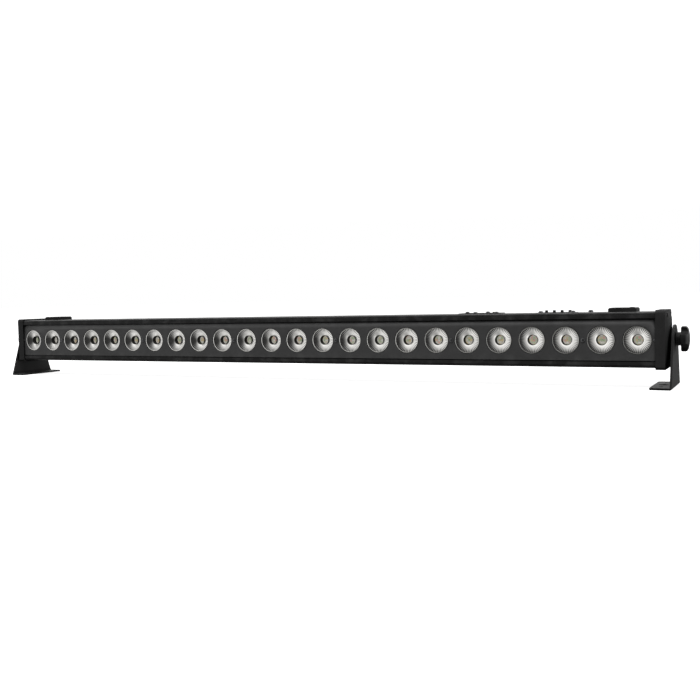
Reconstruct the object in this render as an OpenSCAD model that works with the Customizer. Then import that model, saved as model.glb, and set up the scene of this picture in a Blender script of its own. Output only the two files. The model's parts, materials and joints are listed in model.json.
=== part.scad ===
// LED strip batten: a bar of lenses in an aluminium extrusion, carried on two tilting feet.
// X runs along the bar, the light leaves towards -Y, +Z is up.
// The origin lies on the floor, midway between the feet and under the tilt axis.

/* [Lenses] */
// Distance between neighbouring lenses
lens_pitch = 41.5; // [41:0.5:46]
// Radius of the hole that each lens looks out of
lens_window_r = 16.8; // [14:0.1:17]
// Lenses on each circuit board
lenses_per_bank = 4; // [4:2:6]

/* [Body] */
// Depth of the extrusion, front to back
body_depth = 56; // [56:1:64]
// Height of the extrusion
body_height = 65; // [65:1:72]
// Wall thickness of the extrusion
wall = 2; // [1.8:0.1:2.4]
// Length of extrusion beyond the last lens
end_margin = 23.4; // [23:0.2:30]

/* [Feet] */
// Height of the tilt axis above the floor
axis_height = 57; // [55:1:64]
// Distance of the tilt axis behind the front of the body
axis_setback = 32; // [31:0.5:33]
// Width of a foot, front to back
foot_depth = 84; // [80:1:90]
// Reach of a foot along the bar
foot_reach = 25; // [23:0.5:26]
// Thickness of the steel of the feet
foot_steel = 2.5; // [2:0.1:3]
// Radius of the large hole in each foot
foot_hole_r = 6; // [4:0.25:6.5]

/* [Knobs] */
// Radius of the star knobs
knob_r = 15; // [13:0.5:17]
// Number of lobes on a knob
knob_lobes = 4; // [4:1:7]

/* [Hidden] */
BANKS = 6;
$fn = 48;

gap = 0.1;              // clearance between pieces that fit into each other
run = 0.08;             // radial clearance of a turning stud
far = 1000;             // longer than any cut needs

// Body, seen end-on: y from the tilt axis, z from the lens line
lens_count = lenses_per_bank * BANKS;
lens_span = lens_pitch * (lens_count - 1);
bank_pitch = lens_pitch * lenses_per_bank;
body_end = lens_span / 2 + end_margin;
front_y = -axis_setback;
back_y = front_y + body_depth;
half_h = body_height / 2;
top_z = axis_height + half_h;
corner_r = 3;
lip_h = 7.1;                            // height of the rails above and below the panel
panel_y = front_y + 1.2;                // front face of the panel
panel_t = 2.4;
panel_face_half = half_h - lip_h - 1.2; // half height of the panel's face
tongue_t = 1.2;                         // the panel's thin edges, which slide in the housing's slots
tongue_half = half_h - lip_h + 1.2;
inner_h = half_h - wall;
web_y = front_y + 16.1;                 // front face of the web that cools the boards
web_t = 2.5;
chamber_y = web_y + web_t;              // front of the rear chamber
inner_back_y = back_y - wall;
roof_z = top_z - wall;                  // underside of the top wall
boss_r = 2.9;
front_boss = [front_y + 13, inner_h - 2.4];
rear_boss = [inner_back_y - 3.2, inner_h - 2.4];
screw_r = 1.5;
panel_screw_r = 1;
end_screw_offset = 19.4;                // from the last lens to the panel screw beyond it

// Lens and light source
lens_front_y = panel_y + 0.4;
lens_flange_y = panel_y + panel_t;
lens_base_y = web_y - 2.1;
board_t = 1.6;
board_face_y = web_y - board_t;
well_r = 6.8;

// End caps and what is clamped to them
cap_skirt = 1.2;                        // cap's overhang at front and back
cap_brim = 2.2;                         // cap's overhang above and below
cap_lap = 3.3;                          // length of body covered by the skirt
seal_t = 0.7;
cap_in = body_end + seal_t;             // inner face of the cap's plate
cap_edge = body_end + 7.4;              // outer face at the top and bottom
cap_bulge = 4;
cap_half_h = half_h + cap_brim;
cap_half_d = body_depth / 2 + cap_skirt;
bulge_r = (cap_half_h * cap_half_h + cap_bulge * cap_bulge) / (2 * cap_bulge);
bulge_r2 = (cap_half_d * cap_half_d + cap_bulge * cap_bulge) / (2 * cap_bulge);
body_mid_y = (front_y + back_y) / 2;
cap_out = cap_edge + cap_bulge;         // outer face at the tilt axis
stud_r = 4;
nut_h = 6.4;
washer_r = 9;
washer_t = 1.5;
plate_in = cap_out + 0.3 + washer_t;    // inner face of the bracket
plate_out = plate_in + foot_steel;
foot_hole_x = plate_out - 13.5;
small_hole_r = 2.25;
small_hole_y = 24;
bracket_top_z = axis_height + 17;
side_lean = 0.329;                      // how much the bracket's sides lean in, per unit of height
hub_out = plate_out + 6;
knob_out = hub_out + 9.2;

// Things on the top face
socket_y = front_y + 38;
dmx_x = body_end - 222.85;              // midway between the two data sockets
dmx_pitch = 28;
dmx_flange = [26, 31, 0.9];
dmx_body_r = 11.8;
dmx_depth = 21;
dmx_screw = [9.5, 12];
mains_x = body_end - 44.2;
mains_size = [33, 28.5, 5];
mains_body = [30.4, 26.2];
mains_depth = 15;
mains_cavity = [16.6, 24.4];
cavity_x = mains_x - 5;
drawer_size = [8.4, 23.6];
drawer_x = mains_x + 9.6;
latch_size = [5.6, 2.6, 9.2];
latch_y = socket_y + 11.7;
control_x = body_end - 124.75;
control_y = front_y + 35;
bezel_size = [48, 28];
bezel_t = 0.5;
bezel_screw_x = 20.1;
button_pitch = 9.8;
button_r = 1.9;
button_y = front_y + 43;
button_stand = 3.1;                     // height of a button above the top face
button_travel = 0.8;
display_size = [30, 11];
display_y = front_y + 28.5;
earth_x = body_end - 83.6;

// Electronics
stand_h = 4;
psu_x = -150;
psu_size = [190, 50];
driver_x = 90;
driver_size = [170, 48];
pcb_y = chamber_y + stand_h;            // back of the boards in the rear chamber
pcb_face_y = pcb_y + board_t;
control_pcb_z = roof_z - 9;

// ---------- helpers ----------

// Rounded rectangle centred on the origin
module rounded_rect(w, h, r) {
    square([w - 2 * r, h], center = true);
    square([w, h - 2 * r], center = true);
    for (x = [-1, 1], y = [-1, 1]) {
        translate([x * (w / 2 - r), y * (h / 2 - r)]) circle(r);
    }
}

// Outline in Y and Z, measured from the tilt axis, made solid from x0 to x1
module along_x(x0, x1) {
    translate([x0, 0, axis_height]) rotate([90, 0, 90]) linear_extrude(x1 - x0) children();
}

// Outline in X and Z, measured from the lens line, made solid from y0 to y1
module along_y(y0, y1) {
    translate([0, y1, axis_height]) rotate([90, 0, 0]) linear_extrude(y1 - y0) children();
}

// Outline in X and Y, made solid from z0 to z1
module upright(z0, z1) {
    translate([0, 0, z0]) linear_extrude(z1 - z0) children();
}

// Round bar from x0 to x1, its centre at y, z from the tilt axis
module rod(x0, x1, r, y = 0, z = 0) {
    along_x(x0, x1) translate([y, z]) circle(r);
}

// Builds the right-hand piece, or its mirror image for the left
module on_side(side) {
    mirror([side == "left" ? 1 : 0, 0, 0]) children();
}

// Pan-head screw standing at the origin, head up, tip down
module pan_screw(head_r, head_h, shank_r, length) {
    difference() {
        rotate_extrude() polygon([
            [0, head_h], [head_r * 0.6, head_h], [head_r * 0.9, head_h * 0.7], [head_r, 0],
            [shank_r, 0], [shank_r, 0.5 - length], [shank_r - 0.5, -length], [0, -length]
        ]);
        for (a = [0, 90]) {
            rotate(a) translate([-head_r * 0.6, -head_r * 0.12, head_h * 0.45])
                cube([head_r * 1.2, head_r * 0.24, head_h]);
        }
    }
}

function lens_x(i) = (i - (lens_count - 1) / 2) * lens_pitch;
function bank_x(bank) = (bank - (BANKS + 1) / 2) * bank_pitch;
function screw_xs() = concat(
    [for (b = [1:BANKS]) bank_x(b)],
    [for (s = [-1, 1]) s * (lens_span / 2 + end_screw_offset)]
);

// ---------- body ----------

module body_outline() {
    translate([body_mid_y, 0]) rounded_rect(body_depth, body_height, corner_r);
}

module screw_bosses(r) {
    for (p = [front_boss, rear_boss], s = [-1, 1]) {
        translate([p[0], s * p[1]]) circle(r);
    }
}

module housing_profile() {
    slot_y = panel_y + panel_t - tongue_t - gap;
    slot_t = tongue_t + 2 * gap;
    rib_pitch = 5;
    difference() {
        union() {
            difference() {
                body_outline();
                translate([front_y - 1, -half_h + lip_h])
                    square([web_y - front_y, 2 * (half_h - lip_h)]);
                translate([slot_y, -tongue_half - gap]) square([slot_t, 2 * (tongue_half + gap)]);
                translate([slot_y + slot_t + 1, -inner_h])
                    square([web_y - slot_y - slot_t - 1, 2 * inner_h]);
                translate([chamber_y, -inner_h]) square([inner_back_y - chamber_y, 2 * inner_h]);
            }
            intersection() {
                screw_bosses(boss_r);
                body_outline();
            }
        }
        screw_bosses(screw_r + 0.05);
        // shallow cooling grooves down the back
        for (i = [-5:5]) {
            translate([back_y, i * rib_pitch]) circle(0.9, $fn = 4);
        }
        // fine line along each front rail
        for (s = [-1, 1]) {
            translate([front_y, s * (half_h - 2.5)]) circle(0.6, $fn = 4);
        }
    }
}

module top_cutouts() {
    for (s = [-0.5, 0.5]) {
        translate([dmx_x + s * dmx_pitch, socket_y]) circle(dmx_body_r + gap);
        for (d = [-1, 1]) {
            translate([dmx_x + s * dmx_pitch - d * dmx_screw[0], socket_y + d * dmx_screw[1]])
                circle(screw_r + gap);
        }
    }
    translate([dmx_x + dmx_pitch / 2, latch_y])
        square([latch_size[0] + 0.8, latch_size[1] + 0.8], center = true);
    for (s = [-1, 1]) {
        translate([s * mains_x, socket_y])
            square([mains_body[0] + 2 * gap, mains_body[1] + 2 * gap], center = true);
        translate([control_x + s * bezel_screw_x, control_y]) circle(screw_r + gap);
    }
    translate([control_x, display_y]) square([display_size[0] + 1, display_size[1] + 1], center = true);
    for (i = [-1.5:1.5]) {
        translate([control_x + i * button_pitch, button_y]) circle(button_r + 1);
    }
    translate([earth_x, socket_y]) circle(screw_r + gap);
}

module housing() {
    color([0.16, 0.16, 0.16]) difference() {
        along_x(-body_end, body_end) housing_profile();
        // deep enough to pass through the rear screw channels too
        upright(top_z - dmx_depth - 1, top_z + 1) top_cutouts();
        along_y(web_y - 1, chamber_y + 1) for (x = screw_xs()) {
            translate([x, 0]) circle(panel_screw_r + gap);
        }
    }
}

module front_panel() {
    length = 2 * body_end - 1;
    color([0.24, 0.24, 0.24]) difference() {
        union() {
            along_y(panel_y, panel_y + panel_t) square([length, 2 * panel_face_half], center = true);
            along_y(panel_y + panel_t - tongue_t, panel_y + panel_t)
                square([length, 2 * tongue_half], center = true);
        }
        along_y(panel_y - 1, panel_y + panel_t + 1) {
            for (i = [0:lens_count - 1]) {
                translate([lens_x(i), 0]) circle(lens_window_r);
            }
            for (x = screw_xs()) {
                translate([x, 0]) circle(panel_screw_r + gap);
            }
        }
    }
}

module front_panel_screws() {
    color([0.35, 0.35, 0.36]) for (x = screw_xs()) {
        head_r = abs(x) > lens_span / 2 ? 1.6 : 2.6;
        translate([x, panel_y, axis_height]) rotate([90, 0, 0])
            pan_screw(head_r, head_r * 0.45, panel_screw_r, 15.5);
    }
}

// ---------- light ----------

// Moulded optic: a dished cone round a central well, with a flange held behind the panel
module lens() {
    rim_r = lens_window_r - 0.3;
    foot_r = 8.2;
    source_room = 2.4;
    dish_depth = 4.4;
    well_depth = 8;
    rotate([90, 0, 0]) rotate_extrude() polygon([
        [0, source_room - lens_base_y],
        [3.4, source_room - 0.8 - lens_base_y],
        [3.6, -lens_base_y],
        [foot_r, -lens_base_y],
        [rim_r - 1, -lens_flange_y - 1.6],
        [lens_window_r + 1.1, -lens_flange_y - 1.6],
        [lens_window_r + 1.1, -lens_flange_y],
        [rim_r, -lens_flange_y],
        [rim_r, -lens_front_y],
        [rim_r - 1, -lens_front_y],
        [well_r, -lens_front_y - dish_depth],
        [well_r - 0.6, -lens_front_y - well_depth],
        [0, -lens_front_y - well_depth - 0.2]
    ]);
}

module lens_bank(bank) {
    color([0.85, 0.86, 0.86]) for (i = [0:lenses_per_bank - 1]) {
        translate([lens_x((bank - 1) * lenses_per_bank + i), 0, axis_height]) lens();
    }
}

module led_board(bank) {
    color([0.9, 0.9, 0.88]) along_y(board_face_y, web_y) difference() {
        translate([bank_x(bank), 0]) square([bank_pitch - 1, 46], center = true);
        for (x = [-1, 0, 1]) {
            translate([bank_x(bank) + x * (bank_pitch / 2 - lens_pitch / 2 + end_screw_offset), 0])
                circle(panel_screw_r + 0.6);
        }
    }
}

module led_chips() {
    color([0.95, 0.88, 0.55]) for (i = [0:lens_count - 1]) {
        translate([lens_x(i), board_face_y, axis_height]) rotate([90, 0, 0]) {
            translate([-2.3, -2.3, 0]) cube([4.6, 4.6, 0.7]);
            translate([0, 0, 0.7]) cylinder(r = 1.9, h = 0.6);
        }
    }
}

// ---------- ends ----------

module cap_outline() {
    translate([body_mid_y, 0])
        rounded_rect(body_depth + 2 * cap_skirt, body_height + 2 * cap_brim, corner_r + 1);
}

// The four screws of a cap: two into the front chamber's corners, two into the rear ones
function cap_screws() = [for (p = [front_boss, rear_boss], s = [-1, 1]) [p[0], s * p[1]]];

module end_cap(side) {
    head_seat = cap_edge - 1.6;
    on_side(side) color([0.12, 0.12, 0.12]) difference() {
        union() {
            intersection() {
                along_x(body_end - cap_lap, cap_out + 1) cap_outline();
                translate([cap_out - bulge_r, 0, axis_height]) rotate([90, 0, 0])
                    cylinder(r = bulge_r, h = 2 * body_depth, center = true, $fn = 180);
                translate([cap_out - bulge_r2, body_mid_y, axis_height])
                    cylinder(r = bulge_r2, h = 2 * body_height, center = true, $fn = 180);
            }
            rod(cap_out - 2, cap_out, 11);
            rod(cap_in - nut_h - 2, cap_in + 1, 9.5);
        }
        difference() {
            along_x(body_end - cap_lap - 1, cap_in) offset_outline(gap);
            rod(cap_in - nut_h - 3, cap_in + 1, 9.5);
        }
        rod(0, far, stud_r + run);
        along_x(cap_in - nut_h - 3, cap_in) hexagon(7.6);
        for (p = cap_screws()) {
            rod(0, far, screw_r + 0.2, p[0], p[1]);
            rod(head_seat, far, 3.3, p[0], p[1]);
        }
    }
}

// The body's outline grown by a small clearance
module offset_outline(by) {
    translate([body_mid_y, 0])
        rounded_rect(body_depth + 2 * by, body_height + 2 * by, corner_r + by);
}

module hexagon(r) {
    circle(r, $fn = 6);
}

module end_seals() {
    ring = 2.6;
    color([0.05, 0.05, 0.05]) for (side = ["left", "right"]) {
        on_side(side) along_x(body_end, body_end + seal_t) difference() {
            body_outline();
            translate([body_mid_y, 0])
                rounded_rect(body_depth - 2 * ring, body_height - 2 * ring, 1);
            for (p = cap_screws()) {
                translate(p) circle(screw_r + 0.3);
            }
        }
    }
}

module end_cap_screws() {
    head_seat = cap_edge - 1.6;
    color([0.3, 0.3, 0.31]) for (side = ["left", "right"], p = cap_screws()) {
        on_side(side) translate([head_seat, p[0], axis_height + p[1]]) rotate([0, 90, 0])
            pan_screw(2.9, 1.7, screw_r, 20);
    }
}

module captive_nuts() {
    color([0.7, 0.7, 0.68]) for (side = ["left", "right"]) {
        on_side(side) along_x(cap_in - nut_h, cap_in) difference() {
            hexagon(7.5);
            circle(stud_r + run);
        }
    }
}

// ---------- tilting feet ----------

// Upright plate: wide at the floor, leaning in to a round top
module bracket_outline() {
    half = foot_depth / 2;
    lean = atan(side_lean);
    // centre and radius of the round top that just meets both sides
    arc_z = (bracket_top_z - half * cos(lean)) / (1 - side_lean * cos(lean));
    arc_r = bracket_top_z - arc_z;
    translate([0, -axis_height]) {
        polygon([
            [-half + side_lean * foot_steel, foot_steel], [half - side_lean * foot_steel, foot_steel],
            [arc_r * cos(lean), arc_z + arc_r * sin(lean)],
            [-arc_r * cos(lean), arc_z + arc_r * sin(lean)]
        ]);
        translate([0, arc_z]) circle(arc_r, $fn = 96);
    }
}

module bracket(side) {
    half = foot_depth / 2;
    bend = foot_steel;
    on_side(side) color([0.1, 0.1, 0.1]) difference() {
        union() {
            along_x(plate_in, plate_out) bracket_outline();
            upright(0, foot_steel) difference() {
                translate([plate_out - foot_reach, -half]) square([foot_reach - bend, foot_depth]);
                for (s = [-1, 1]) {
                    translate([plate_out - foot_reach, s * half]) circle(2.5, $fn = 4);
                }
            }
            // quarter round where the steel is folded
            translate([plate_out - bend, half, foot_steel]) rotate([90, 0, 0])
                intersection() {
                    cylinder(r = bend, h = foot_depth);
                    translate([0, -bend, 0]) cube([bend, bend, foot_depth]);
                }
        }
        rod(0, far, stud_r + run);
        translate([foot_hole_x, 0, -1]) cylinder(r = foot_hole_r, h = foot_steel + 2);
        for (s = [-1, 1]) {
            translate([foot_hole_x, s * small_hole_y, -1]) cylinder(r = small_hole_r, h = foot_steel + 2);
        }
    }
}

module bracket_washer(side) {
    on_side(side) color([0.06, 0.06, 0.06]) along_x(plate_in - washer_t, plate_in) difference() {
        circle(washer_r);
        circle(stud_r + run);
    }
}

module knob(side) {
    scallop_r = knob_r * 0.42;
    flare = 1.6;
    on_side(side) color([0.04, 0.04, 0.04]) difference() {
        union() {
            rod(plate_out + 0.3, hub_out + 1, 8);
            intersection() {
                translate([hub_out, 0, axis_height]) rotate([0, 90, 0]) rotate_extrude() polygon([
                    [0, 0], [knob_r - 1.2, 0], [knob_r - 0.3, 0.4], [knob_r, 1.4], [knob_r, 5.2],
                    [knob_r - 0.7, 6.6], [knob_r - 2.6, 7.8], [knob_r * 0.5, 8.9],
                    [0, knob_out - hub_out]
                ]);
                along_x(hub_out - 1, knob_out + 1) difference() {
                    circle(knob_r + 1);
                    for (i = [0:knob_lobes - 1]) {
                        rotate((i + 0.5) * 360 / knob_lobes) translate([knob_r + flare, 0])
                            circle(scallop_r);
                    }
                }
            }
        }
        rod(0, hub_out + 6.1, stud_r + 0.02);
    }
}

module knob_stud(side) {
    on_side(side) color([0.62, 0.62, 0.6]) rod(cap_in - nut_h - 4, hub_out + 6, stud_r);
}

// ---------- electronics in the rear chamber ----------

module circuit_board(x, size) {
    along_y(pcb_y, pcb_face_y) difference() {
        translate([x, 0]) square(size, center = true);
        for (sx = [-1, 1], sz = [-1, 1]) {
            translate([x + sx * (size[0] / 2 - 5), sz * (size[1] / 2 - 5)]) circle(1.6);
        }
    }
}

module power_board() {
    color([0.1, 0.35, 0.18]) circuit_board(psu_x, psu_size);
}

module driver_board() {
    color([0.1, 0.3, 0.45]) circuit_board(driver_x, driver_size);
}

module power_transformer() {
    color([0.85, 0.75, 0.2]) translate([psu_x - 16, pcb_face_y, axis_height - 14]) difference() {
        cube([32, 22, 28]);
        for (x = [-1, 25]) {
            translate([x, 16, -1]) cube([8, 7, 30]);
        }
    }
}

module power_capacitors() {
    color([0.15, 0.15, 0.3]) for (x = [-66, -46, 40, 56, 72]) {
        translate([psu_x + x, pcb_face_y + (x < 0 ? 18 : 13), axis_height]) rotate([90, 0, 0])
            cylinder(r = x < 0 ? 9 : 6, h = x < 0 ? 18 : 13);
    }
}

module driver_coils() {
    color([0.45, 0.25, 0.12]) for (i = [0:BANKS - 1]) {
        translate([driver_x + (i - 2.5) * 24, pcb_face_y + 9, axis_height]) rotate([90, 0, 0])
            difference() {
                cylinder(r = 7.5, h = 9);
                translate([0, 0, 1]) cylinder(r = 2.5, h = 9);
            }
    }
}

module board_standoffs() {
    color([0.75, 0.65, 0.35]) along_y(chamber_y, pcb_y) {
        for (b = [[psu_x, psu_size], [driver_x, driver_size]], sx = [-1, 1], sz = [-1, 1]) {
            translate([b[0] + sx * (b[1][0] / 2 - 5), sz * (b[1][1] / 2 - 5)]) circle(3);
        }
    }
}

// Bundle of wire through a run of corners, [x, y, z] from the tilt axis, with a wrapped tie at each corner
module wire(points, r) {
    for (i = [0:len(points) - 2]) {
        a = points[i];
        b = points[i + 1];
        d = b - a;
        length = norm(d);
        translate(a) rotate([0, acos(d[2] / length), atan2(d[1], d[0])]) cylinder(r = r, h = length);
        if (i < len(points) - 2) {
            translate(b) sphere(r * 1.3);
        }
    }
}

module wiring_loom() {
    low = -24;
    run_y = inner_back_y - 8;
    psu_in = psu_x - psu_size[0] / 2 + 4;
    color([0.5, 0.1, 0.1]) translate([0, 0, axis_height]) {
        // mains link from inlet to outlet along the floor of the chamber
        wire([
            [mains_x, run_y, 9], [mains_x, run_y, low], [-mains_x, run_y, low], [-mains_x, run_y, 9]
        ], 2.6);
        // low voltage from the power board to the driver board
        wire([[psu_x + psu_size[0] / 2 - 8, pcb_face_y + 2, 8], [driver_x - driver_size[0] / 2 + 8,
            pcb_face_y + 2, 8]], 1.8);
        // data from the sockets to the driver board
        wire([[dmx_x, socket_y, 2], [driver_x + driver_size[0] / 2 - 6, pcb_face_y + 2, 2]], 1.6);
    }
}

// ---------- controls ----------

module control_board() {
    color([0.1, 0.35, 0.18]) upright(control_pcb_z - board_t, control_pcb_z)
        translate([control_x, control_y]) square([46, 26], center = true);
}

module display_module() {
    color([0.25, 0.04, 0.04]) upright(control_pcb_z, top_z + 0.3)
        translate([control_x, display_y]) square(display_size, center = true);
}

module control_bezel() {
    color([0.08, 0.08, 0.08]) upright(top_z, top_z + bezel_t) difference() {
        translate([control_x, control_y]) rounded_rect(bezel_size[0], bezel_size[1], 2);
        translate([control_x, display_y])
            square([display_size[0] + 0.6, display_size[1] + 0.6], center = true);
        for (i = [-1.5:1.5]) {
            translate([control_x + i * button_pitch, button_y]) circle(button_r + 0.3);
        }
        for (s = [-1, 1]) {
            translate([control_x + s * bezel_screw_x, control_y]) circle(screw_r + gap);
        }
    }
}

module bezel_screws() {
    color([0.3, 0.3, 0.31]) for (s = [-1, 1]) {
        translate([control_x + s * bezel_screw_x, control_y, top_z + bezel_t])
            pan_screw(2.9, 1.8, screw_r, 7);
    }
}

// Push button with a collar under the bezel that stops it falling out
module button(place) {
    x = control_x + (place - 2.5) * button_pitch;
    color([0.1, 0.1, 0.1]) translate([x, button_y, 0]) rotate_extrude()
        polygon([
            [0, control_pcb_z + button_travel + 0.2], [button_r, control_pcb_z + button_travel + 0.2],
            [button_r, roof_z - 1.4], [button_r + 0.7, roof_z - 1.4], [button_r + 0.7, roof_z - 0.2],
            [button_r, roof_z - 0.2], [button_r, top_z + button_stand - 0.5],
            [button_r - 0.5, top_z + button_stand], [0, top_z + button_stand]
        ]);
}

// ---------- data sockets ----------

module dmx_flange_plate(x) {
    upright(top_z, top_z + dmx_flange[2]) difference() {
        translate([x, socket_y]) rounded_rect(dmx_flange[0], dmx_flange[1], 2.5);
        for (d = [-1, 1]) {
            translate([x - d * dmx_screw[0], socket_y + d * dmx_screw[1]]) circle(screw_r + gap);
        }
    }
}

function pin_angles() = [35, 145, 270];

// Cup that the lead's female plug goes into
module dmx_input_socket() {
    x = dmx_x - dmx_pitch / 2;
    floor_z = top_z - 14;
    color([0.1, 0.1, 0.1]) difference() {
        union() {
            dmx_flange_plate(x);
            translate([x, socket_y, top_z - dmx_depth]) cylinder(r = dmx_body_r, h = dmx_depth + 1);
        }
        translate([x, socket_y, floor_z]) cylinder(r = 9.6, h = 20);
        for (a = pin_angles()) {
            translate([x, socket_y, 0]) rotate(a) translate([4.8, 0, 0]) cylinder(r = 1.2, h = far);
        }
    }
}

module dmx_input_pins() {
    x = dmx_x - dmx_pitch / 2;
    color([0.8, 0.78, 0.7]) for (a = pin_angles()) {
        translate([x, socket_y, 0]) rotate(a) translate([4.8, 0, top_z - dmx_depth - 3])
            cylinder(r = 1.2, h = dmx_depth - 1.5);
    }
}

// Ring that the lead's male plug goes into, with a latch window on its rear side
module dmx_output_socket() {
    x = dmx_x + dmx_pitch / 2;
    floor_z = top_z - 15;
    color([0.1, 0.1, 0.1]) difference() {
        union() {
            dmx_flange_plate(x);
            translate([x, socket_y, top_z - dmx_depth]) cylinder(r = dmx_body_r, h = dmx_depth + 1);
        }
        translate([x, socket_y, floor_z]) cylinder(r = 9.6, h = 20);
        for (a = pin_angles()) {
            translate([x, socket_y, 0]) rotate(a) translate([4.8, 0, 0]) cylinder(r = 1.6, h = far);
        }
        translate([x, latch_y - 1, floor_z + 14])
            cube([latch_size[0] + 0.6, latch_size[1] + 2.6, 20], center = true);
    }
}

// Insulating core with three contact holes
module dmx_output_insert() {
    x = dmx_x + dmx_pitch / 2;
    color([0.06, 0.06, 0.06]) difference() {
        translate([x, socket_y, top_z - 15]) cylinder(r = 7, h = 15.6);
        for (a = pin_angles()) {
            translate([x, socket_y, 0]) rotate(a) translate([4.8, 0, 0]) cylinder(r = 1.4, h = far);
        }
    }
}

// Tab that is pressed to let the plug go
module dmx_output_latch() {
    x = dmx_x + dmx_pitch / 2;
    color([0.55, 0.55, 0.55]) translate([x, latch_y, top_z - 7 + latch_size[2] / 2])
        cube(latch_size, center = true);
}

module socket_screws() {
    color([0.3, 0.3, 0.31]) for (s = [-0.5, 0.5], d = [-1, 1]) {
        translate([dmx_x + s * dmx_pitch - d * dmx_screw[0], socket_y + d * dmx_screw[1],
            top_z + dmx_flange[2]]) pan_screw(2.8, 1.7, screw_r, 8);
    }
}

// ---------- mains connectors ----------

// Box of a mains connector: a raised rim on the top face and a body below it
module mains_shell() {
    difference() {
        union() {
            upright(top_z, top_z + mains_size[2] - 1) translate([mains_x, socket_y])
                rounded_rect(mains_size[0], mains_size[1], 1.5);
            upright(top_z, top_z + mains_size[2]) translate([mains_x, socket_y])
                rounded_rect(mains_size[0] - 2, mains_size[1] - 2, 1);
            upright(top_z - mains_depth, top_z) translate([mains_x, socket_y])
                square(mains_body, center = true);
        }
        children();
    }
}

// Outline of a mains plug: a rectangle with the two corners by the earth blade cut off
module mains_mouth(shrink = 0) {
    w = mains_cavity[0] / 2 - shrink;
    h = mains_cavity[1] / 2 - shrink;
    cut = 4.5;
    translate([cavity_x, socket_y])
        polygon([[-w, -h], [w - cut, -h], [w, cut - h], [w, h - cut], [w - cut, h], [-w, h]]);
}

module mains_blades(size) {
    for (p = [[-2, -7], [-2, 7], [2, 0]]) {
        translate([cavity_x + p[0], socket_y + p[1]]) square(size, center = true);
    }
}

module mains_inlet() {
    floor_z = top_z - mains_depth + 3;
    color([0.07, 0.07, 0.07]) mains_shell() {
        upright(floor_z, top_z + far) mains_mouth();
        upright(0, top_z) mains_blades([4.1, 2.1]);
        upright(floor_z, top_z + far) translate([drawer_x, socket_y])
            square([drawer_size[0] + 0.4, drawer_size[1] + 0.4], center = true);
    }
}

module mains_inlet_pins() {
    color([0.82, 0.8, 0.74]) upright(top_z - mains_depth - 5, top_z - 0.5) mains_blades([4, 2]);
}

module fuse_drawer() {
    floor_z = top_z - mains_depth + 3.3;
    lid_z = top_z + mains_size[2];
    color([0.03, 0.03, 0.03]) difference() {
        union() {
            upright(floor_z, lid_z - 0.1) translate([drawer_x, socket_y])
                square(drawer_size, center = true);
            upright(lid_z - 0.1, lid_z + 0.6) translate([drawer_x, socket_y])
                square([drawer_size[0] - 4, 9], center = true);
        }
        translate([drawer_x - 2.8, socket_y - 10.2, floor_z + 2]) cube([8, 20.4, 6.6]);
    }
}

module fuse() {
    z = top_z - mains_depth + 3.3 + 5.2;
    color([0.85, 0.85, 0.82]) translate([drawer_x, socket_y + 10, z]) rotate([90, 0, 0]) {
        cylinder(r = 2.6, h = 5);
        translate([0, 0, 5]) cylinder(r = 2.4, h = 10);
        translate([0, 0, 15]) cylinder(r = 2.6, h = 5);
    }
}

// Surround of the link outlet, on the left
module mains_outlet() {
    floor_z = top_z - mains_depth + 3;
    on_side("left") color([0.07, 0.07, 0.07]) mains_shell() {
        upright(floor_z, top_z + far) mains_mouth();
    }
}

// Block with three slots that a link lead's plug goes round
module mains_outlet_core() {
    floor_z = top_z - mains_depth + 3;
    on_side("left") color([0.06, 0.06, 0.06]) difference() {
        upright(floor_z, top_z + mains_size[2] - 1.4) mains_mouth(2.2);
        upright(0, far) mains_blades([4.6, 2.6]);
    }
}

module mains_outlet_contacts() {
    on_side("left") color([0.82, 0.8, 0.74])
        upright(top_z - mains_depth + 3, top_z - mains_depth + 12) mains_blades([4, 2]);
}

module earth_screw() {
    color([0.35, 0.35, 0.34]) translate([earth_x, socket_y, top_z]) pan_screw(3.1, 2.8, screw_r, 8);
}

// ---------- pieces ----------

housing();
front_panel();
front_panel_screws();
led_chips();
for (i = [1:BANKS]) {
    lens_bank(i);
    led_board(i);
}
end_cap("left");  // end_cap_left
end_cap("right");  // end_cap_right
end_seals();
end_cap_screws();
captive_nuts();
bracket("left");  // bracket_left
bracket("right");  // bracket_right
bracket_washer("left");  // bracket_washer_left
bracket_washer("right");  // bracket_washer_right
knob("left");  // knob_left
knob("right");  // knob_right
knob_stud("left");  // knob_stud_left
knob_stud("right");  // knob_stud_right
power_board();
power_transformer();
power_capacitors();
driver_board();
driver_coils();
board_standoffs();
control_board();
display_module();
control_bezel();
bezel_screws();
button(1);  // mode_button
button(2);  // setup_button
button(3);  // down_button
button(4);  // up_button
dmx_input_socket();
dmx_input_pins();
dmx_output_socket();
dmx_output_insert();
dmx_output_latch();
socket_screws();
mains_inlet();
mains_inlet_pins();
fuse_drawer();
fuse();
mains_outlet();
mains_outlet_core();
mains_outlet_contacts();
earth_screw();
wiring_loom();
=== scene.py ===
"""Looks of the LED strip batten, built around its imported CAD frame. Metres, Blender 4.5."""
import json
import math

import bmesh
import bpy
from mathutils import Matrix, Vector


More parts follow.
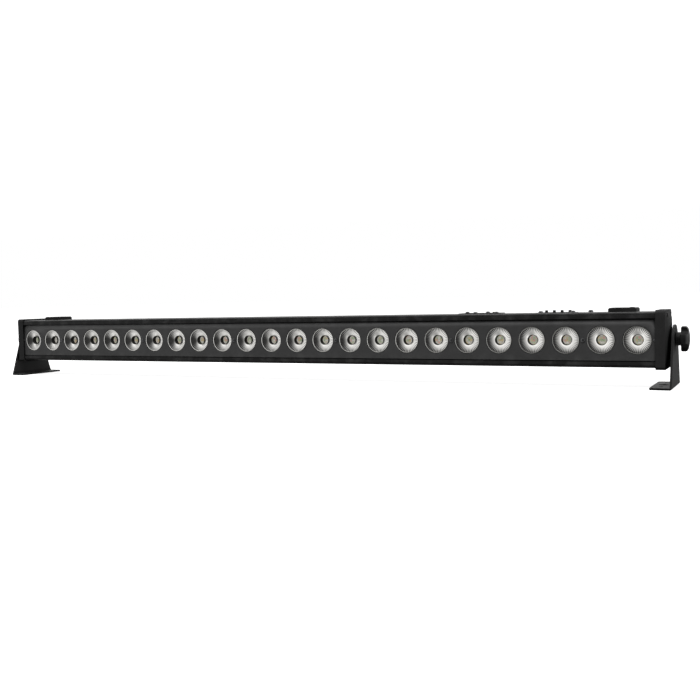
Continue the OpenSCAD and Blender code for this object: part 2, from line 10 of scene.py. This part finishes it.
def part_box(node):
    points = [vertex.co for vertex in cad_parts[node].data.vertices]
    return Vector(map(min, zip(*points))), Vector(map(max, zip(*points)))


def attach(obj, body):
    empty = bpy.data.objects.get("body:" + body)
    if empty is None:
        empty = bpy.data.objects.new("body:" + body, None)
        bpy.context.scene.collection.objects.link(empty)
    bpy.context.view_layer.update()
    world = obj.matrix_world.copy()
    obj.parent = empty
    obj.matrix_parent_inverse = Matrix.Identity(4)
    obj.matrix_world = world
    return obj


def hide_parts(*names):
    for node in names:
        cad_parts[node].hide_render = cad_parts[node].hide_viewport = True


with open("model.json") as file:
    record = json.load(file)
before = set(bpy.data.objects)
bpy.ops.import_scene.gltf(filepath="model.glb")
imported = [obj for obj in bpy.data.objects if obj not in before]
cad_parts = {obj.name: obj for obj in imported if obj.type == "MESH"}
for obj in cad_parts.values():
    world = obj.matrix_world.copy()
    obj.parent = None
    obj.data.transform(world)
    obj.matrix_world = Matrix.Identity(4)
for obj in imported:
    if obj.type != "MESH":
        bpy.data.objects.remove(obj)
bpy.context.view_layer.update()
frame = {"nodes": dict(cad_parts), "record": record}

MM = 0.001
ROOT = "batten"
BANKS = 6
LENSES_PER_BANK = 4
SLOT_OF = {part["node"]: part["material_slot"] for part in frame["record"]["subparts"]}
BODY_OF = {node: body for body, nodes in frame["record"]["behaviour"]["bodies"].items() for node in nodes}

# ---------------------------------------------------------------- materials

NOISE_ROUGHNESS = 0.55
CONVEX = (0.52, 0.6)          # pointiness from where an edge starts to show to where it is fully an edge
# Reach and openness of the painted shade in gaps and grooves:
GAP_REACH = 9 * MM            # a surface counts as open once nothing is nearer than this
GAP_OPENNESS = (0.45, 0.8)    # openness of a deep gap and of an open face


class Nodes:
    """Short ways to add nodes to a node tree."""

    def __init__(self, tree):
        self.tree = tree

    def add(self, kind, links=None, **settings):
        """Adds a node; links maps an input's name or number to a socket or a plain value."""
        node = self.tree.nodes.new(kind)
        for key, value in settings.items():
            setattr(node, key, value)
        for key, value in (links or {}).items():
            if isinstance(value, bpy.types.NodeSocket):
                self.tree.links.new(value, node.inputs[key])
            else:
                node.inputs[key].default_value = value
        return node

    def math(self, operation, a, b):
        return self.add("ShaderNodeMath", {0: a, 1: b}, operation=operation).outputs[0]

    def spread(self, value, low, high, to_low=0.0, to_high=1.0):
        """Takes value's range low to high onto to_low to to_high."""
        links = {"Value": value, "From Min": low, "From Max": high, "To Min": to_low, "To Max": to_high}
        return self.add("ShaderNodeMapRange", links).outputs["Result"]


class Shader(Nodes):
    """A new node material with a Principled shader."""

    def __init__(self, name, **inputs):
        self.material = bpy.data.materials.new(name)
        self.material.use_nodes = True
        super().__init__(self.material.node_tree)
        self.surface = self.tree.nodes["Principled BSDF"]
        self.place = self.add("ShaderNodeTexCoord").outputs["Object"]
        for key, value in inputs.items():
            self.surface.inputs[key.replace("_", " ")].default_value = value

    def noise(self, scale, detail=3.0, vector=None):
        links = {
            "Vector": vector or self.place,
            "Scale": scale,
            "Detail": detail,
            "Roughness": NOISE_ROUGHNESS,
        }
        return self.add("ShaderNodeTexNoise", links).outputs["Fac"]

    def cells(self, scale, randomness=1.0, **settings):
        """Outputs of a cell pattern, laid out in rows at low randomness."""
        links = {"Vector": self.place, "Scale": scale, "Randomness": randomness}
        return self.add("ShaderNodeTexVoronoi", links, **settings).outputs

    def mix(self, factor, a, b):
        """Goes from colour a to colour b as factor goes from 0 to 1."""
        return self.add("ShaderNodeMix", {0: factor, 6: a, 7: b}, data_type="RGBA").outputs[2]

    def edges(self):
        """1 along convex edges and 0 elsewhere."""
        pointiness = self.add("ShaderNodeNewGeometry").outputs["Pointiness"]
        return self.spread(pointiness, *CONVEX)

    def crevice_shade(self):
        """Painted shade: 1 down in narrow gaps and grooves, where ambient occlusion finds them, and 0 on
        open faces.
        """
        openness = self.add("ShaderNodeAmbientOcclusion", {"Distance": GAP_REACH}).outputs["AO"]
        return self.spread(openness, *GAP_OPENNESS, 1.0, 0.0)

    def colour(self, socket):
        self.tree.links.new(socket, self.surface.inputs["Base Color"])

    def rough(self, socket):
        self.tree.links.new(socket, self.surface.inputs["Roughness"])

    def bump(self, height, distance, strength, normal=None):
        """Raises the surface by height times distance, on top of an earlier bump where one is given."""
        links = {"Height": height, "Distance": distance, "Strength": strength}
        if normal is not None:
            links["Normal"] = normal
        out = self.add("ShaderNodeBump", links).outputs["Normal"]
        self.tree.links.new(out, self.surface.inputs["Normal"])
        return out


def grey(value):
    return (value, value, value, 1.0)


def scaled(colour, factor):
    return tuple(channel * factor for channel in colour[:3]) + (1.0,)


def powder_coat(name, shade, roughness, grain, wear, shine):
    """Baked powder paint: fine orange peel, faint clouds, rubbed edges, and painted shade down in the gaps.
    """
    s = Shader(name, Specular_IOR_Level=shine)
    cloud = s.noise(14.0, 4.0)
    speck = s.noise(grain * 2.2, 2.0)
    body = s.mix(s.spread(cloud, 0.3, 0.75), grey(shade * 1.1), grey(shade * 1.3))
    body = s.mix(s.spread(speck, 0.62, 0.75, 0.0, 0.35), body, grey(min(1.0, shade * 2.4)))
    rubbed = s.math("MULTIPLY", s.edges(), s.spread(s.noise(60.0, 5.0), 0.45, 0.7, 0.0, wear))
    body = s.mix(rubbed, body, grey(min(1.0, shade * 4.0 + 0.05)))
    # Painted shade: the colour goes nearly black down in gaps and grooves.
    s.colour(s.mix(s.crevice_shade(), body, grey(shade * 0.15)))
    s.rough(s.spread(s.noise(35.0, 3.0), 0.3, 0.7, roughness - 0.03, roughness + 0.04))
    fine = s.bump(s.noise(grain, 2.0), 0.00012, 0.5)
    s.bump(cloud, 0.0001, 0.1, fine)
    return s.material


def moulded_plastic(name, shade, roughness, grain=1400.0, shine=0.5):
    """Injection-moulded plastic: a spark-eroded grain, faint flow marks, polished high spots."""
    s = Shader(name, Specular_IOR_Level=shine)
    flow = s.noise(45.0, 3.0)
    s.colour(s.mix(s.spread(flow, 0.35, 0.68), grey(shade), grey(shade * 1.6)))
    handled = s.math("MULTIPLY", s.edges(), 0.14)
    s.rough(s.math("SUBTRACT", s.spread(flow, 0.3, 0.7, roughness - 0.05, roughness + 0.08), handled))
    s.bump(s.noise(grain, 2.0), 0.00008, 0.55)
    return s.material


LAY_STRETCH = (1.0, 1.0, 18.0)
TARNISHED = 0.7


def brushed_metal(name, colour, roughness):
    """Plated or blackened metal with a fine lay of tool marks and a little tarnish."""
    s = Shader(name, Metallic=1.0)
    drawn = s.add("ShaderNodeMapping", {"Vector": s.place, "Scale": LAY_STRETCH}).outputs["Vector"]
    marks = s.noise(700.0, 2.0, vector=drawn)
    tarnish = s.noise(180.0, 4.0)
    s.colour(s.mix(s.spread(tarnish, 0.35, 0.7), colour, scaled(colour, TARNISHED)))
    s.rough(s.spread(marks, 0.3, 0.7, roughness - 0.08, roughness + 0.1))
    s.bump(marks, 0.00004, 0.5)
    return s.material


def rubber(name, shade):
    """Matt rubber with a dusty bloom."""
    s = Shader(name, Specular_IOR_Level=0.3)
    dust = s.noise(220.0, 5.0)
    s.colour(s.mix(s.spread(dust, 0.4, 0.75), grey(shade), grey(shade * 2.5)))
    s.rough(s.spread(dust, 0.3, 0.7, 0.72, 0.9))
    s.bump(s.noise(900.0, 3.0), 0.0001, 0.5)
    return s.material


SOLDER_PAD = (0.7, 0.68, 0.6, 1.0)


def circuit_board(name, colour, track):
    """Solder mask over copper tracks, with rows of pads."""
    s = Shader(name, Roughness=0.35)
    cells = s.cells(160.0, distance="CHEBYCHEV", feature="DISTANCE_TO_EDGE")
    lines = s.spread(cells["Distance"], 0.03, 0.06)
    pads = s.spread(s.cells(300.0)["Distance"], 0.12, 0.16)
    s.colour(s.mix(pads, SOLDER_PAD, s.mix(lines, track, colour)))
    s.rough(s.spread(s.noise(80.0), 0.3, 0.7, 0.3, 0.5))
    s.bump(lines, 0.00005, 0.6)
    return s.material


SILVER_BRIGHT = (0.92, 0.91, 0.88, 1.0)
SILVER_DULL = (0.8, 0.79, 0.76, 1.0)
# Colour of the painted shade in the flutes' troughs.
FLUTE_SHADE_COLOUR = (0.03, 0.03, 0.03, 1.0)


def silvered(name):
    """Moulded optic that throws light back like silver, with painted shade, nearly black, down in its
    flutes.
    """
    s = Shader(name, Metallic=1.0)
    haze = s.noise(60.0, 3.0)
    painted_flute_shade = s.add("ShaderNodeAttribute", attribute_name="painted_flute_shade").outputs["Fac"]
    silver = s.mix(s.spread(haze, 0.35, 0.7), SILVER_BRIGHT, SILVER_DULL)
    # Painted shade: the silver goes nearly black where the attribute marks the flutes' troughs.
    s.colour(s.mix(painted_flute_shade, silver, FLUTE_SHADE_COLOUR))
    s.rough(s.spread(haze, 0.3, 0.7, 0.08, 0.16))
    s.bump(s.noise(900.0, 2.0), 0.00002, 0.3)
    return s.material


DIE_YELLOW = (0.84, 0.7, 0.4, 1.0)
DIE_PALE = (0.95, 0.93, 0.84, 1.0)
DIE_GREEN = (0.55, 0.66, 0.42, 1.0)
DIE_PINK = (0.84, 0.52, 0.44, 1.0)
DIE_GAP = (0.7, 0.67, 0.6, 1.0)


def led_chips(name):
    """Multi-colour LED: a grid of yellow, pale, green and pink dies in a white well, with a faint painted
    glow that stands in for light falling into the well.
    """
    # Painted light: the dies glow a little in their own colours, though no lamp is lit.
    s = Shader(name, Roughness=0.3, Coat_Weight=0.6, Coat_Roughness=0.05, Emission_Strength=0.42)
    die = s.cells(320.0, 0.15, distance="CHEBYCHEV")
    hue = s.add("ShaderNodeValToRGB", {"Fac": die["Color"]})
    ramp = hue.color_ramp
    ramp.interpolation = "CONSTANT"
    ramp.elements[0].color = DIE_YELLOW
    ramp.elements[1].position = 0.75
    ramp.elements[1].color = DIE_PINK
    for position, colour in ((0.35, DIE_PALE), (0.55, DIE_GREEN)):
        ramp.elements.new(position).color = colour
    gap = s.spread(die["Distance"], 0.38, 0.46)
    face = s.mix(gap, hue.outputs["Color"], DIE_GAP)
    s.colour(face)
    s.tree.links.new(face, s.surface.inputs["Emission Color"])
    s.bump(gap, 0.0001, 0.5)
    return s.material


def flat_window(name, colour):
    """Glossy tinted window, with faint scuffs."""
    s = Shader(name, Specular_IOR_Level=0.6)
    scuff = s.noise(260.0, 5.0)
    s.colour(s.mix(s.spread(scuff, 0.4, 0.75), colour, scaled(colour, 1.7)))
    s.rough(s.spread(scuff, 0.4, 0.75, 0.08, 0.22))
    return s.material


# The frame's own materials have these names already, so Blender may add a number to the new ones:
# the table is keyed by the slot's name, not by the material's.
MATERIALS = {slot: recipe(slot, **settings) for slot, recipe, settings in (
    ("black_extrusion", powder_coat, dict(shade=0.022, roughness=0.4, grain=900.0, wear=0.35, shine=0.1)),
    ("panel_black", powder_coat, dict(shade=0.058, roughness=0.5, grain=1100.0, wear=0.2, shine=0.3)),
    ("cap_black", powder_coat, dict(shade=0.032, roughness=0.55, grain=700.0, wear=0.3, shine=0.03)),
    ("bracket_black", powder_coat, dict(shade=0.022, roughness=0.5, grain=800.0, wear=0.5, shine=0.17)),
    ("screw_black", brushed_metal, dict(colour=(0.16, 0.16, 0.165, 1.0), roughness=0.38)),
    ("steel", brushed_metal, dict(colour=(0.62, 0.62, 0.6, 1.0), roughness=0.3)),
    ("contact_metal", brushed_metal, dict(colour=(0.78, 0.75, 0.68, 1.0), roughness=0.22)),
    ("brass", brushed_metal, dict(colour=(0.72, 0.55, 0.25, 1.0), roughness=0.3)),
    ("copper_coil", brushed_metal, dict(colour=(0.6, 0.28, 0.12, 1.0), roughness=0.35)),
    ("rubber_black", rubber, dict(shade=0.02)),
    ("wire_black", rubber, dict(shade=0.015)),
    ("knob_black", moulded_plastic, dict(shade=0.012, roughness=0.38, grain=1000.0, shine=0.2)),
    ("plastic_black", moulded_plastic, dict(shade=0.018, roughness=0.5, shine=0.08)),
    ("button_black", moulded_plastic, dict(shade=0.014, roughness=0.42, shine=0.3)),
    ("transformer_tape", moulded_plastic, dict(shade=0.5, roughness=0.35)),
    ("capacitor_sleeve", moulded_plastic, dict(shade=0.03, roughness=0.3)),
    ("pcb_green", circuit_board, dict(colour=(0.02, 0.14, 0.05, 1.0), track=(0.04, 0.22, 0.08, 1.0))),
    ("pcb_blue", circuit_board, dict(colour=(0.02, 0.07, 0.18, 1.0), track=(0.04, 0.12, 0.28, 1.0))),
    ("led_board_white", circuit_board, dict(colour=(0.8, 0.8, 0.78, 1.0), track=(0.72, 0.72, 0.7, 1.0))),
    ("optic", silvered, {}),
    ("led_phosphor", led_chips, {}),
    ("display_red", flat_window, dict(colour=(0.05, 0.004, 0.004, 1.0))),
    ("fuse_glass", flat_window, dict(colour=(0.6, 0.62, 0.6, 1.0))),
)}

# ---------------------------------------------------------------- meshes


def new_piece(name, bm, materials, smooth_angle=None):
    """A smooth-shaded object made of bm, with creases where faces meet more sharply than smooth_angle."""
    mesh = bpy.data.meshes.new(name)
    bm.to_mesh(mesh)
    bm.free()
    for material in materials:
        mesh.materials.append(material)
    mesh.shade_smooth()
    if smooth_angle is not None:
        mesh.set_sharp_from_angle(angle=smooth_angle)
    piece = bpy.data.objects.new(name, mesh)
    bpy.context.scene.collection.objects.link(piece)
    return piece


def bake_modifiers(piece):
    """Turns the piece's modifiers into its mesh."""
    bpy.context.view_layer.update()
    evaluated = piece.evaluated_get(bpy.context.evaluated_depsgraph_get())
    shaped = bpy.data.meshes.new_from_object(evaluated)
    piece.modifiers.clear()
    piece.data = shaped


WELD_DISTANCE = 0.002 * MM
FLAT_ANGLE = math.radians(0.4)
BEVEL_SEGMENTS = 2
BEVEL_ANGLE = math.radians(32)
SHARP_ANGLE = math.radians(40)


def refined(node, bevel):
    """A copy of a CAD node with its sharp edges rounded, standing for that node."""
    bm = bmesh.new()
    bm.from_mesh(frame["nodes"][node].data)
    bmesh.ops.remove_doubles(bm, verts=bm.verts, dist=WELD_DISTANCE)
    bmesh.ops.dissolve_limit(bm, angle_limit=FLAT_ANGLE, verts=bm.verts, edges=bm.edges)
    piece = new_piece(node + "_finished", bm, [MATERIALS[SLOT_OF[node]]])
    rounding = piece.modifiers.new("round", "BEVEL")
    rounding.width = bevel
    rounding.segments = BEVEL_SEGMENTS
    rounding.limit_method = "ANGLE"
    rounding.angle_limit = BEVEL_ANGLE
    rounding.use_clamp_overlap = True
    piece.modifiers.new("normals", "WEIGHTED_NORMAL")
    bake_modifiers(piece)
    piece.data.set_sharp_from_angle(angle=SHARP_ANGLE)
    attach(piece, BODY_OF[node])
    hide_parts(node)


def ring(bm, centre, radius, depth, steps, relief=(0.0,)):
    """A loop of points round a lens's axis, behind its rim by depth; relief repeats round the loop."""
    points = []
    for i in range(steps):
        angle = 2 * math.pi * i / steps
        x = centre.x + radius * math.cos(angle)
        y = centre.y + depth + relief[i % len(relief)]
        z = centre.z + radius * math.sin(angle)
        points.append(bm.verts.new((x, y, z)))
    return points


def skin(bm, rings, material=0):
    """Joins a list of loops with faces."""
    for inner, outer in zip(rings, rings[1:]):
        count = len(inner)
        for i in range(count):
            j = (i + 1) % count
            face = bm.faces.new((inner[i], inner[j], outer[j], outer[i]))
            face.material_index = material


# ---------------------------------------------------------------- lenses

FLUTES = 40
FLUTE_SHAPE = (-1.0, -1.0, 1.0, 1.0)     # ridge, then valley
FLUTE_CUT = 0.13 * MM
# strength of the painted shade in the flutes' troughs
FLUTE_SHADE_STRENGTH = 0.97
FLUTE_START = 0.3                        # strength of the flutes beside the rim
FLUTE_RISE = 8.0                         # how fast they reach full strength
FLUTE_END = 0.9                          # way down the bowl at which they have faded out
RIM_R = 16.4 * MM
RIM_PROFILE = (                          # inset and depth in millimetres
    (0.0, 1.8), (0.0, 0.7), (0.1, 0.35), (0.3, 0.12), (0.55, 0.02), (0.8, 0.0),
)
BOWL_R = RIM_R - 1.0 * MM
BOWL_START = 0.3 * MM
BOWL_DEPTH = 4.6 * MM
BOWL_ROWS = 14
BOWL_CURVE = 0.5                         # share of the depth that grows with the square of the way down
WELL_R = 6.4 * MM
SOURCE_DEPTH = 11.0 * MM
SOURCE_R = WELL_R - 0.6 * MM
SOURCE_DOME = 1.6 * MM
SOURCE_RINGS = (1.0, 0.9, 0.75, 0.55, 0.3)
COLLAR_STEPS = 64
SOURCE_STEPS = 48
FLUTE_SMOOTH_ANGLE = math.radians(25)


def lens_centres(bank):
    """Axes of a bank's lenses, on the plane of their front rims."""
    low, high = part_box(f"lens_bank_{bank}")
    flange = (high.z - low.z) / 2
    first = low.x + flange
    pitch = (high.x - low.x - 2 * flange) / (LENSES_PER_BANK - 1)
    height = (low.z + high.z) / 2
    return [Vector((first + i * pitch, low.y, height)) for i in range(LENSES_PER_BANK)]


def optic_rows():
    """Radius, depth and strength of the flutes, from the back of the rolled rim to the foot of the bowl."""
    rows = [(RIM_R - inset * MM, depth * MM, 0.0) for inset, depth in RIM_PROFILE]
    for k in range(BOWL_ROWS + 1):
        way = math.sin(k / BOWL_ROWS * math.pi / 2)
        radius = BOWL_R - way * (BOWL_R - WELL_R)
        curve = (1 - BOWL_CURVE) * way + BOWL_CURVE * way * way
        depth = BOWL_START + (BOWL_DEPTH - BOWL_START) * curve
        fade = max(0.0, 1.0 - way / FLUTE_END)
        rows.append((radius, depth, min(1.0, FLUTE_RISE * way + FLUTE_START) * fade ** 0.5))
    return rows


def build_optic(bm, centre):
    """Fluted bowl with a rolled rim, and the dark collar round the light source."""
    painted_flute_shade = bm.verts.layers.float["painted_flute_shade"]
    steps = FLUTES * len(FLUTE_SHAPE)
    rings = []
    for radius, depth, strength in optic_rows():
        cut = FLUTE_CUT * strength * radius / RIM_R
        points = ring(bm, centre, radius, depth, steps, [cut * height for height in FLUTE_SHAPE])
        for i, point in enumerate(points):
            # Painted shade, strongest in each flute's trough and fading out down the bowl.
            point[painted_flute_shade] = strength * FLUTE_SHADE_STRENGTH * (0.5 + 0.5 * FLUTE_SHAPE[i % len(FLUTE_SHAPE)])
        rings.append(points)
    skin(bm, rings)
    collar = (
        (WELL_R + 0.1 * MM, BOWL_DEPTH),
        (WELL_R, BOWL_DEPTH - 0.2 * MM),
        (WELL_R - 0.4 * MM, BOWL_DEPTH),
        (SOURCE_R, SOURCE_DEPTH + 0.5 * MM),
    )
    skin(bm, [ring(bm, centre, radius, depth, COLLAR_STEPS) for radius, depth in collar], 1)


def build_source(bm, centre):
    """The light source at the bottom of the collar, under its low dome."""
    rings = []
    for f in SOURCE_RINGS:
        rings.append(ring(bm, centre, SOURCE_R * f, SOURCE_DEPTH - (1 - f * f) * SOURCE_DOME, SOURCE_STEPS))
    skin(bm, rings)
    bm.faces.new(list(reversed(rings[-1])))


def make_lenses():
    """An optics piece and a light source piece for each bank; the LEDs' one CAD node goes with bank 1."""
    for bank in range(1, BANKS + 1):
        optic, source = bmesh.new(), bmesh.new()
        optic.verts.layers.float.new("painted_flute_shade")
        for centre in lens_centres(bank):
            build_optic(optic, centre)
            build_source(source, centre)
        silver_and_black = [MATERIALS["optic"], MATERIALS["plastic_black"]]
        optics = new_piece(f"lens_optics_{bank}", optic, silver_and_black, FLUTE_SMOOTH_ANGLE)
        sources = new_piece(f"light_sources_{bank}", source, [MATERIALS["led_phosphor"]])
        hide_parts(f"lens_bank_{bank}")
        if bank == 1:
            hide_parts("led_chips")
        for piece, slot in ((optics, "optic"), (sources, "led_phosphor")):
            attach(piece, ROOT)


# ---------------------------------------------------------------- pieces taken from the CAD

# Rounding of each refined node's edges, in millimetres.
BEVELS = {
    "housing": 0.25, "front_panel": 0.25, "end_cap_left": 0.7, "end_cap_right": 0.7,
    "bracket_left": 0.3, "bracket_right": 0.3, "bracket_washer_left": 0.25, "bracket_washer_right": 0.25,
    "knob_left": 0.7, "knob_right": 0.7, "control_bezel": 0.3, "dmx_input_socket": 0.35,
    "dmx_output_socket": 0.35, "dmx_output_insert": 0.3, "dmx_output_latch": 0.4, "mains_inlet": 0.4,
    "mains_outlet": 0.4, "fuse_drawer": 0.4, "display_module": 0.2,
    "mode_button": 0.2, "setup_button": 0.2, "down_button": 0.2, "up_button": 0.2,
}


def make_finished_pieces():
    for node, width in BEVELS.items():
        refined(node, width * MM)


def dress_cad_nodes():
    """Gives every CAD node its own procedural material."""
    for node, obj in frame["nodes"].items():
        obj.data.materials.clear()
        obj.data.materials.append(MATERIALS[SLOT_OF[node]])


# ---------------------------------------------------------------- stage

# Camera of the photograph, solved from the lens row, the end caps and the feet.
CAMERA_PLACE = (0.639, -1.100, 0.114)
CAMERA_YAW = 26.59          # degrees
CAMERA_PITCH = -3.36
CAMERA_ROLL = -1.38
CAMERA_LENS = 45.59         # millimetres, for the sensor below
CAMERA_SENSOR = 36.0
CAMERA_NEAREST = 0.01

FLOOR_SIZE = 30.0
FLOOR_GLOW = 0.85

KEY_PLACE = Vector((0.4, -1.2, 2.4))
KEY_TARGET = Vector((0.1, 0.0, 0.05))
KEY_SIZE = 1.4
KEY_POWER = 50.0

# Brightness of the world. A direction's Y is -1 towards the camera's side, and its Z is -1 straight down.
BRIGHT = 1.1
DARK = 0.05
CAMERA_SIDE = (-0.52, -0.88)    # Y from bright to dark
FAR_SIDE = (0.5, 0.9)           # Y from where the dark behind the bar starts to where it is full
FAR_LOW = (0.1, -0.05)          # and Z
BELOW = (-0.65, -0.9)           # Z from full brightness to UNDERSIDE's share of it
UNDERSIDE = 0.35
AMBIENT = 0.38                  # share of the world's light that paint receives from above
GROUND = 0.4                    # share of that which it receives from below
HORIZON = (-0.1, 0.1)           # Z from below to above


def make_camera():
    camera = bpy.data.objects.new("camera", bpy.data.cameras.new("camera"))
    camera.data.lens = CAMERA_LENS
    camera.data.sensor_width = CAMERA_SENSOR
    camera.data.clip_start = CAMERA_NEAREST
    turn = Matrix.Rotation(math.radians(CAMERA_YAW), 4, "Z")
    tilt = Matrix.Rotation(math.radians(90 + CAMERA_PITCH), 4, "X")
    roll = Matrix.Rotation(math.radians(CAMERA_ROLL), 4, "Z")
    camera.matrix_world = Matrix.Translation(CAMERA_PLACE) @ turn @ tilt @ roll
    bpy.context.scene.collection.objects.link(camera)
    bpy.context.scene.camera = camera


def make_floor():
    """White floor that neither lights the bar nor shows in its reflections; the world does both."""
    bm = bmesh.new()
    bmesh.ops.create_grid(bm, x_segments=8, y_segments=8, size=FLOOR_SIZE)
    s = Shader("floor", Roughness=0.9, Specular_IOR_Level=0.1, Emission_Strength=FLOOR_GLOW)
    s.surface.inputs["Emission Color"].default_value = grey(1.0)
    s.colour(s.mix(s.spread(s.noise(2.0), 0.3, 0.7), grey(0.93), grey(0.9)))
    floor = new_piece("floor", bm, [s.material])
    floor.visible_glossy = False
    floor.visible_diffuse = False


def make_key_light():
    """Soft light from above the camera's side, hidden from mirror rays so that the bowls stay even."""
    light = bpy.data.lights.new("key", "AREA")
    light.size = KEY_SIZE
    light.energy = KEY_POWER
    obj = bpy.data.objects.new("key", light)
    obj.location = KEY_PLACE
    obj.rotation_euler = (KEY_TARGET - KEY_PLACE).to_track_quat("-Z", "Y").to_euler()
    obj.visible_glossy = False
    bpy.context.scene.collection.objects.link(obj)


def make_world():
    """White studio that is dark on the camera's side, low down behind the bar and straight below it."""
    world = bpy.data.worlds.new("studio")
    bpy.context.scene.world = world
    world.use_nodes = True
    nodes = Nodes(world.node_tree)
    direction = nodes.add("ShaderNodeTexCoord").outputs["Generated"]
    split = nodes.add("ShaderNodeSeparateXYZ", {0: direction}).outputs
    y, z = split["Y"], split["Z"]
    camera_side = nodes.spread(y, *CAMERA_SIDE, BRIGHT, DARK)
    far_and_low = nodes.math("MULTIPLY", nodes.spread(y, *FAR_SIDE), nodes.spread(z, *FAR_LOW))
    far_side = nodes.spread(far_and_low, 0.0, 1.0, 1.0, DARK)
    below = nodes.spread(z, *BELOW, 1.0, UNDERSIDE)
    room = nodes.math("MULTIPLY", nodes.math("MULTIPLY", camera_side, far_side), below)
    ambient = nodes.spread(z, *HORIZON, AMBIENT * GROUND, AMBIENT)
    ray = nodes.add("ShaderNodeLightPath").outputs
    paint_share = nodes.math("MULTIPLY", ray["Is Diffuse Ray"], nodes.math("SUBTRACT", ambient, 1.0))
    light = nodes.math("MULTIPLY", room, nodes.math("ADD", paint_share, 1.0))
    background = nodes.tree.nodes["Background"]
    background.inputs["Color"].default_value = grey(1.0)
    backdrop = nodes.math("MAXIMUM", light, ray["Is Camera Ray"])
    nodes.tree.links.new(backdrop, background.inputs["Strength"])


def make_stage():
    make_floor()
    make_world()
    make_key_light()
    bpy.context.scene.view_settings.view_transform = "Standard"
    bpy.context.scene.view_settings.look = "None"


make_camera()
dress_cad_nodes()
make_finished_pieces()
make_lenses()
make_stage()
